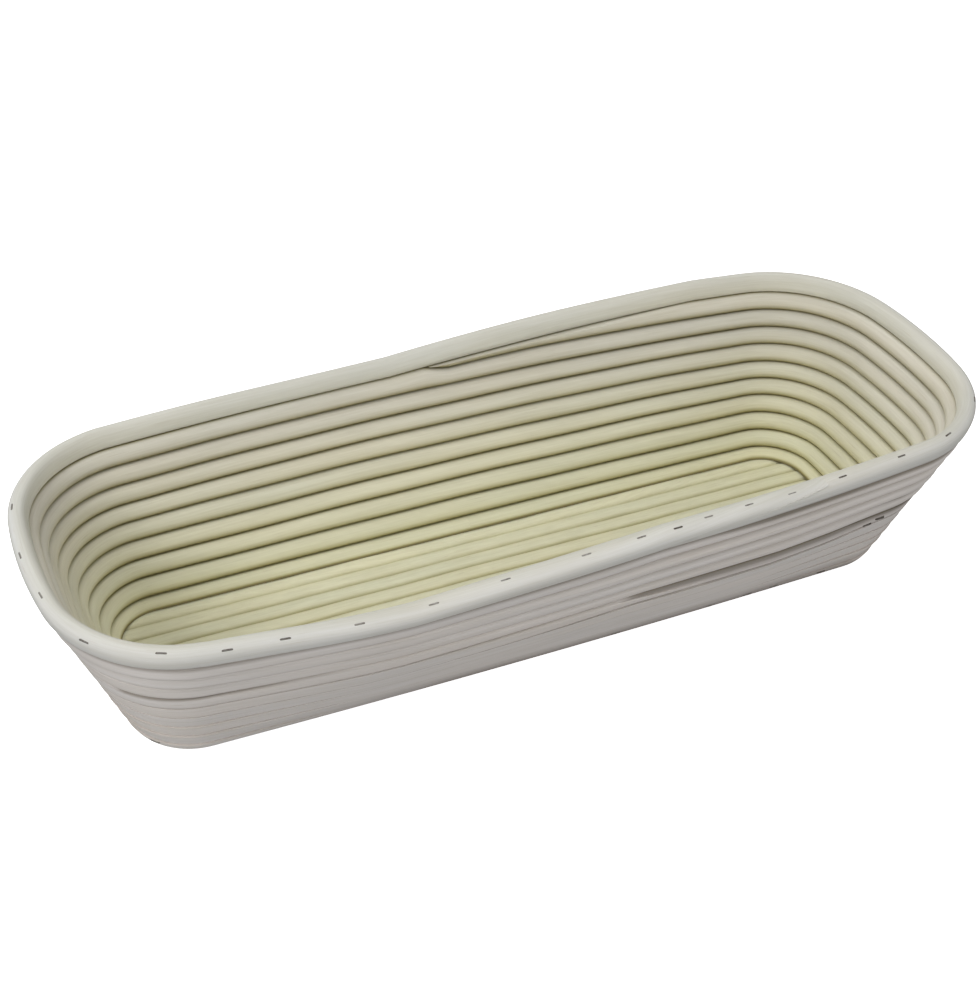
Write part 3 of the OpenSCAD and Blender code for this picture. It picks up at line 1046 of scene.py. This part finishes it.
# %% Base staples
# Places as (x in mm, darkness)
base_front = [(27, 0.6), (71.5, 0.6), (89.5, 0.8), (102.5, 0.6), (126.5, 1.0)]
base_tint = 0.6
base_corner = 0.55
base_level, base_corner_level = 5.8 * MM, 6.0 * MM
base_leg = 4.5 * MM


def base_seat(x, y, corner):
    ring = (turn_step(x, y, corner) - step_on_back(0, 0)) % turn_steps
    outer = np.flatnonzero(ring_inside < 0.5)
    wanted = base_corner_level if corner else base_level
    level = np.abs(ring_rings[int(ring), outer, 2] - wanted)
    return seat(ring_rings, ring, outer[level.argmin()], 0)


base_places = [side_place(x, -1) for x, tint in base_front]
base_places += [side_place(x, 1) for x in back_places_mm]
base_places += [(x, y, base_corner) for x in (-1, 1) for y in (-1, 1)]
base_tints = [tint for x, tint in base_front]
base_tints += [base_tint] * (len(base_places) - len(base_front))
base_seats = [base_seat(*place) for place in base_places]
base_staples = bend_staples("base_staple_wires", base_seats, base_leg, base_tints)
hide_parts("base_staples")
print("staples in the base:", len(base_places))

# %% [markdown]
# ## Staples in the open groove
# Two staples that join the courses show in the open groove near the right front corner. They are set
# into the wall by its own formula, because the groove has no ring of points at its bottom.

# %% Groove staples
# Places as (x, height in courses)
groove_places = ((0.945, 5.68), (0.985, 5.92))
groove_out = 1.25 * MM
groove_tint = 1.0
seat_step = 0.01


def groove_seat(x, u):
    places = np.array([[x - seat_step, -1, 0], [x, -1, 0], [x + seat_step, -1, 0]])
    levels = np.full((len(places), 1), u)
    before, at, after = wall_points(places, levels, np.full_like(levels, groove_out))[:, 0]
    over = wall_points(places, levels, np.full_like(levels, groove_out + MM))[1, 0]
    along = (after - before) / np.linalg.norm(after - before)
    return at, along, (over - at) / np.linalg.norm(over - at)


groove_seats = [groove_seat(*place) for place in groove_places]
groove_tints = [groove_tint] * len(groove_places)
groove_staples = bend_staples("groove_staple_wires", groove_seats, base_leg, groove_tints)
print("staples in the open groove:", len(groove_places))

# %% [markdown]
# ## Building finishes from nodes
# A finish is a small node tree. This helper adds one node, sets its plain values on its own sockets
# and links the rest, so each finish below reads as a short list of steps.

# %% Helper for node trees
def add(tree, kind, inputs=(), output=0, **settings):
    """Adds a node, fills its inputs with values or links, and returns one output socket."""
    made = tree.nodes.new(kind)
    for key, value in settings.items():
        setattr(made, key, value)
    for key, value in dict(inputs).items():
        if isinstance(value, bpy.types.NodeSocket):
            tree.links.new(value, made.inputs[key])
        else:
            made.inputs[key].default_value = value
    return made.outputs[output]


def blend_colour(tree, share, first, second, blend="MIX"):
    sockets = {0: share, 6: first, 7: second}
    return add(tree, "ShaderNodeMix", sockets, 2, data_type="RGBA", blend_type=blend)


def spread(tree, value, low, high, to_low=0.0, to_high=1.0):
    return add(tree, "ShaderNodeMapRange", {0: value, 1: low, 2: high, 3: to_low, 4: to_high})


def stored(tree, name, output):
    return add(tree, "ShaderNodeAttribute", output=output, attribute_name=name)


def stretched_noise(tree, vector, scale, detail, roughness=0.55):
    stretched = add(tree, "ShaderNodeVectorMath", {0: vector, 1: scale}, operation="MULTIPLY")
    sockets = {"Vector": stretched, "Scale": 1.0, "Detail": detail, "Roughness": roughness}
    return add(tree, "ShaderNodeTexNoise", sockets)


def new_finish(name):
    """A new material with its node tree and shader."""
    material = bpy.data.materials.new(name)
    material.use_nodes = True
    return material, material.node_tree, material.node_tree.nodes["Principled BSDF"]


print("node helpers ready")

# %% [markdown]
# ## Bare rattan
# Rattan core has no bark and no varnish. It is matt, with fine fibres along its length, faint darker
# pores and slow changes of tint from one stretch to the next. Old flour and shade make the grooves
# brown. The colour is cream, greener towards the floor and greyer with a touch of mauve outside,
# where it has been sanded.

# %% Rattan finish
# Noise as (scales along the cane, round its section and from turn to turn), detail and roughness
fibre_noise = (14.0, 1500.0, 31.0), 4.0
streak_noise = (5.0, 330.0, 17.0), 3.0
patch_noise = (7.0, 40.0, 5.0), 2.0
pore_noise = (45.0, 2600.0, 53.0), 2.0, 0.4
# Ranges of a noise or a stored value, some with the range that they are turned into
patch_range, grain_range, pore_range = (0.35, 0.7), (0.75, 1.25), (0.68, 0.78, 0.0, 0.3)
shade_range, dark_range = (0.0, 0.6), (0.5, 1.0, 0.0)
rough_range = (0.3, 0.7, 0.86, 0.68)
low_inside, high_inside = 4 * MM, 62 * MM
facing_from, facing_full = 0.3, 0.62
white = (1, 1, 1, 1)
cool_patch, warm_patch = (0.965, 0.97, 0.97, 1), (1.015, 1.0, 0.975, 1)
dark_grain, light_grain = (0.93, 0.92, 0.89, 1), (1.03, 1.03, 1.03, 1)
pore_brown = (0.42, 0.34, 0.22, 1)
shade_outside, shade_inside = (0.60, 0.575, 0.56, 1), (0.60, 0.56, 0.38, 1)
rattan_shine = 0.28
grain_bump, grain_height = 0.3, 0.2 * MM


def rattan(name, inside_low, inside_high, outside, groove_colour, groove_strength):
    """Cane with one colour outside, two inside by height, and dark grooves."""
    material, tree, shader = new_finish(name)
    run_place = stored(tree, "run", 1)
    groove = stored(tree, "groove", 2)
    facing = spread(tree, stored(tree, "inside", 2), facing_from, facing_full)
    place = add(tree, "ShaderNodeTexCoord", output=3)
    height = add(tree, "ShaderNodeSeparateXYZ", {0: place}, 2)
    noises = (fibre_noise, streak_noise, patch_noise, pore_noise)
    fibres, streaks, patches, pores = (stretched_noise(tree, run_place, *noise) for noise in noises)
    inner = blend_colour(tree, spread(tree, height, low_inside, high_inside), inside_low, inside_high)
    colour = blend_colour(tree, facing, outside, inner)
    warm = blend_colour(tree, spread(tree, patches, *patch_range), cool_patch, warm_patch)
    colour = blend_colour(tree, 1.0, colour, warm, "MULTIPLY")
    grain = add(tree, "ShaderNodeMath", {0: fibres, 1: streaks}, operation="ADD")
    tone = blend_colour(tree, spread(tree, grain, *grain_range), dark_grain, light_grain)
    colour = blend_colour(tree, 1.0, colour, tone, "MULTIPLY")
    colour = blend_colour(tree, spread(tree, pores, *pore_range), colour, pore_brown)
    tint = blend_colour(tree, facing, shade_outside, shade_inside)
    shade = blend_colour(tree, spread(tree, groove, *shade_range), white, tint)
    colour = blend_colour(tree, 1.0, colour, shade, "MULTIPLY")
    dark = spread(tree, groove, *dark_range, groove_strength)
    colour = blend_colour(tree, dark, colour, groove_colour)
    tree.links.new(colour, shader.inputs["Base Color"])
    tree.links.new(spread(tree, streaks, *rough_range), shader.inputs["Roughness"])
    shader.inputs["Specular IOR Level"].default_value = rattan_shine
    bump_sockets = {"Strength": grain_bump, "Distance": grain_height, "Height": grain}
    tree.links.new(add(tree, "ShaderNodeBump", bump_sockets), shader.inputs["Normal"])
    return material


print("scales of the fibres:", fibre_noise[0])

# %% Finish the canes
wall_finish = rattan(
    "rattan_wall",
    inside_low=(0.845, 0.835, 0.61, 1), inside_high=(0.655, 0.63, 0.545, 1), outside=(0.825, 0.785, 0.755, 1),
    groove_colour=(0.13, 0.108, 0.065, 1), groove_strength=0.85,
)
rim_finish = rattan(
    "rattan_rim",
    inside_low=(0.675, 0.67, 0.615, 1), inside_high=(0.66, 0.655, 0.595, 1), outside=(0.725, 0.72, 0.69, 1),
    groove_colour=(0.18, 0.145, 0.10, 1), groove_strength=0.75,
)
floor_finish = rattan(
    "rattan_floor",
    inside_low=(0.89, 0.88, 0.665, 1), inside_high=(0.89, 0.88, 0.665, 1), outside=(0.80, 0.79, 0.66, 1),
    groove_colour=(0.33, 0.30, 0.15, 1), groove_strength=0.65,
)
for piece in (lower_coil, upper_coil, base_ring):
    piece.data.materials.append(wall_finish)
rim_cane.data.materials.append(rim_finish)
for piece in floor_pieces:
    piece.data.materials.append(floor_finish)
print("rattan finishes:", wall_finish.name, rim_finish.name, floor_finish.name)

# %% [markdown]
# ## Staple wire
# The staples are thin steel wire, dulled by damp dough. Some crowns are still pale and some have
# turned brown, and all are darkest at their ends, where the legs go into the cane. The staples that
# the next course hides keep the frame's own solids and get the same finish without the tint and dark ends.

# %% Staple finish
grey_wire, brown_wire = (0.20, 0.19, 0.175, 1), (0.085, 0.065, 0.045, 1)
pale_wire, dull_wire = (0.50, 0.49, 0.45, 1), (0.36, 0.34, 0.30, 1)
dark_end = (0.07, 0.055, 0.04, 1)
tarnish_scale, tarnish_detail = 700.0, 3.0
brown_range, dull_range = (0.4, 0.62), (0.35, 0.65)
wire_rough_range = (0.3, 0.7, 0.45, 0.75)
wire_metal = 0.4


def staple_wire(name, tinted):
    """Tarnished wire; the flag tells whether the mesh stores each staple's tint and darker ends."""
    material, tree, shader = new_finish(name)
    place = add(tree, "ShaderNodeTexCoord", output=3)
    sockets = {"Vector": place, "Scale": tarnish_scale, "Detail": tarnish_detail}
    tarnish = add(tree, "ShaderNodeTexNoise", sockets)
    colour = blend_colour(tree, spread(tree, tarnish, *brown_range), grey_wire, brown_wire)
    if tinted:
        end_darkness, tint = stored(tree, "end_darkness", 2), stored(tree, "tint", 2)
        pale = blend_colour(tree, spread(tree, tarnish, *dull_range), pale_wire, dull_wire)
        colour = blend_colour(tree, tint, pale, colour)
        ends = add(tree, "ShaderNodeMath", {0: end_darkness, 1: tint}, operation="MULTIPLY")
        colour = blend_colour(tree, ends, colour, dark_end)
    tree.links.new(colour, shader.inputs["Base Color"])
    tree.links.new(spread(tree, tarnish, *wire_rough_range), shader.inputs["Roughness"])
    shader.inputs["Metallic"].default_value = wire_metal
    return material


crown_finish = staple_wire("staple_wire_tinted", True)
wire_finish = staple_wire("staple_wire", False)
for piece in (rim_staples, base_staples, groove_staples):
    piece.data.materials.append(crown_finish)
for name in ("wall_staples", "floor_staples"):
    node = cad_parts[name]
    node.data.materials.clear()
    node.data.materials.append(wire_finish)
print("staple finishes:", crown_finish.name, wire_finish.name)

# %% [markdown]
# ## Studio floor
# The photograph is a bright studio picture on pure white. A pale floor that glows a little keeps the
# shadow faint, and it is hidden from the light that bounces, so the outer wall stays as grey as it
# is in the picture.

# %% Paper floor
paper_half = 6.0
paper_colour = (0.9, 0.9, 0.9, 1)
paper_roughness = 0.9
paper_glow = 0.9


def studio_floor():
    mesh = bpy.data.meshes.new("studio_floor")
    corners = [(-1, -1), (1, -1), (1, 1), (-1, 1)]
    mesh.from_pydata([(x * paper_half, y * paper_half, 0) for x, y in corners], [], [(0, 1, 2, 3)])
    floor = bpy.data.objects.new("studio_floor", mesh)
    bpy.context.collection.objects.link(floor)
    paper, _, shader = new_finish("white_paper")
    shader.inputs["Base Color"].default_value = paper_colour
    shader.inputs["Roughness"].default_value = paper_roughness
    shader.inputs["Emission Color"].default_value = white
    shader.inputs["Emission Strength"].default_value = paper_glow
    floor.data.materials.append(paper)
    floor.visible_diffuse = False
    floor.visible_glossy = False
    return floor


print("floor:", studio_floor().name)

# %% [markdown]
# ## Light
# The picture has soft light from all round. Seven round area lights give it here. The strongest stand
# on the left and at the back, and weaker ones fill in the front. A dim even room does the rest, a
# little brighter from below.

# %% Lights and room
basket_middle = (0, 0, 0.04)
# Lights as (name, place, diameter, watts)
studio_lights = (
    ("left", (-1.5, -0.5, 1.3), 0.9, 14.5),
    ("top", (0.1, 0.1, 2.0), 1.4, 6.5),
    ("right", (1.6, -0.4, 0.9), 1.0, 3.7),
    ("front_low", (-0.5, -1.9, 0.5), 1.0, 5.2),
    ("front_left", (-1.2, -1.5, 0.8), 0.9, 3.5),
    ("front", (0.0, -1.6, 1.2), 1.0, 5),
    ("back", (-0.3, 1.7, 1.2), 1.0, 14.5),
)
room_below, room_above = (0.30, 0.30, 0.305, 1), (0.21, 0.21, 0.21, 1)
horizon = 0.15


def soft_light(name, place, size, watts):
    """Round area light that faces the basket."""
    lamp = bpy.data.lights.new(name, "AREA")
    lamp.shape = "DISK"
    lamp.size = size
    lamp.energy = watts
    light = bpy.data.objects.new(name, lamp)
    light.location = place
    light.rotation_euler = (Vector(basket_middle) - Vector(place)).to_track_quat("-Z", "Y").to_euler()
    bpy.context.collection.objects.link(light)


def room(below, above):
    """Even surrounding light, with one colour from below and another from above."""
    world = bpy.data.worlds.new("white_room")
    world.use_nodes = True
    tree = world.node_tree
    direction = add(tree, "ShaderNodeTexCoord", output=0)
    height = add(tree, "ShaderNodeSeparateXYZ", {0: direction}, 2)
    colour = blend_colour(tree, spread(tree, height, -horizon, horizon), below, above)
    tree.links.new(colour, tree.nodes["Background"].inputs["Color"])
    return world


for studio_light in studio_lights:
    soft_light(*studio_light)
bpy.context.scene.world = room(room_below, room_above)
print("lights:", len(studio_lights))
